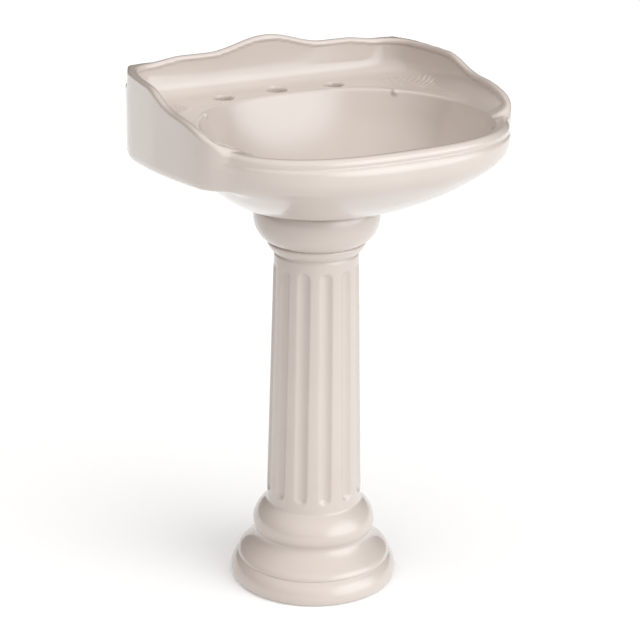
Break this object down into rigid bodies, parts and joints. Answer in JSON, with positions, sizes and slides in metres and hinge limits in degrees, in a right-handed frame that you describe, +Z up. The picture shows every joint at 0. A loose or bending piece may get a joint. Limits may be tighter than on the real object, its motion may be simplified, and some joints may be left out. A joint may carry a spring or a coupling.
{
  "type": "pedestal sink",
  "caption": "China pedestal sink: rectangular basin with scalloped backsplash and side wings on a fluted column, with push drain and P-trap.",
  "frame": {"origin": "centre of the bounding box's footprint, on the floor", "axes": "+Z up, +Y towards the wall, +X to the right of someone facing the sink"},
  "size_m": [0.554, 0.478, 0.897],
  "materials": {
    "china": "glossy glazed vitreous china, warm off-white",
    "chrome": "polished chrome plate",
    "brass": "rough machined brass",
    "rubber": "matt black rubber",
    "nylon": "white nylon",
    "steel": "stainless spring wire"
  },
  "bodies": {
    "sink": {"basin": "china", "pedestal": "china", "drain_body": "chrome", "drain_flange_gasket": "rubber", "drain_tapered_washer": "rubber", "drain_friction_washer": "nylon", "drain_locknut": "brass", "stopper_guide": "brass", "stopper_spring": "steel", "tailpiece": "chrome", "trap_inlet_nut": "chrome", "trap_inlet_washer": "rubber", "trap_j_bend": "chrome", "trap_union_nut": "chrome", "trap_union_washer": "rubber", "trap_arm": "chrome"},
    "stopper": {"stopper": "chrome", "stopper_seal": "rubber"}
  },
  "joints": [
    {"name": "stopper_push", "type": "slide", "parent": "sink", "child": "stopper", "axis": [0, 0, 1], "range_m": [-0.009, 0], "deforming": ["stopper_spring"]}
  ]
}
